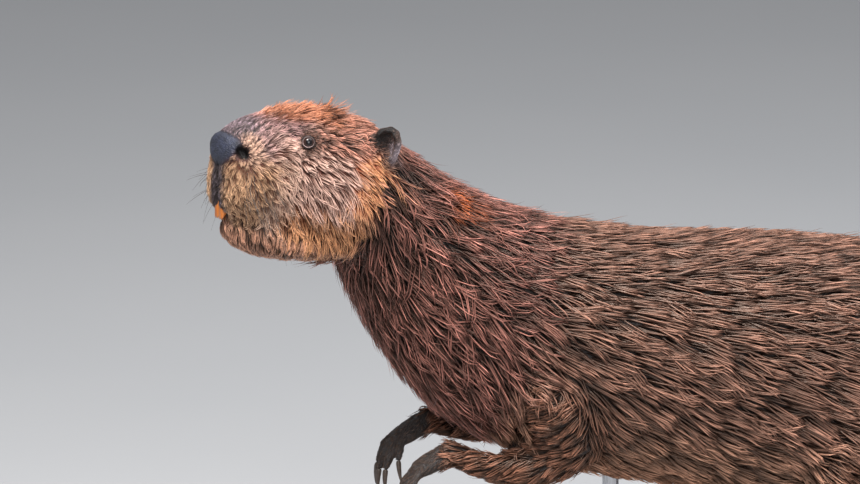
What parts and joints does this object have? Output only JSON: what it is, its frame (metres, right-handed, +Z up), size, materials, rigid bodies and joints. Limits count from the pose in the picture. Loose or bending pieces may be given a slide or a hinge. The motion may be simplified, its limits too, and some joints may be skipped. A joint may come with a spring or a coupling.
{
  "type": "beaver on a display stand",
  "caption": "Life-size North American beaver in wet fur, posed as it swims with its head raised, on a plain stand of a flat board and short rods.",
  "frame": {"origin": "on the floor, under the middle of the bounding box", "axes": "-Y towards the nose, +X towards the animal's left side, +Z up"},
  "size_m": [0.35, 1.0326, 0.464],
  "materials": {
    "coat": "wet brown and russet fur",
    "bare_skin": "dark bare skin",
    "nose_skin": "moist dark grey skin",
    "tail_scales": "dark scaled skin",
    "claw_horn": "dark horn",
    "tooth_enamel": "orange enamel",
    "eye": "wet, nearly black",
    "stand_board": "dark varnished wood",
    "stand_steel": "brushed steel rod"
  },
  "bodies": {
    "root": {"chest": "coat", "claw_forepaw_left_1": "claw_horn", "claw_forepaw_left_2": "claw_horn", "claw_forepaw_left_3": "claw_horn", "claw_forepaw_left_4": "claw_horn", "claw_forepaw_left_5": "claw_horn", "claw_forepaw_right_1": "claw_horn", "claw_forepaw_right_2": "claw_horn", "claw_forepaw_right_3": "claw_horn", "claw_forepaw_right_4": "claw_horn", "claw_forepaw_right_5": "claw_horn", "claw_hind_foot_left_1": "claw_horn", "claw_hind_foot_left_2": "claw_horn", "claw_hind_foot_left_3": "claw_horn", "claw_hind_foot_left_4": "claw_horn", "claw_hind_foot_left_5": "claw_horn", "claw_hind_foot_right_1": "claw_horn", "claw_hind_foot_right_2": "claw_horn", "claw_hind_foot_right_3": "claw_horn", "claw_hind_foot_right_4": "claw_horn", "claw_hind_foot_right_5": "claw_horn", "ear_left": "bare_skin", "ear_right": "bare_skin", "eye_left": "eye", "eye_right": "eye", "foreleg_left": "coat", "foreleg_right": "coat", "forepaw_left": "bare_skin", "forepaw_right": "bare_skin", "head": "coat", "hind_foot_left": "bare_skin", "hind_foot_right": "bare_skin", "hind_leg_left": "coat", "hind_leg_right": "coat", "incisor_lower_left": "tooth_enamel", "incisor_lower_right": "tooth_enamel", "incisor_upper_left": "tooth_enamel", "incisor_upper_right": "tooth_enamel", "jaw": "coat", "neck": "coat", "nose": "nose_skin", "stand_base": "stand_board", "stand_rod_front": "stand_steel", "stand_rod_rear": "stand_steel", "tail": "tail_scales", "tail_base": "coat", "trunk": "coat"}
  },
  "joints": []
}
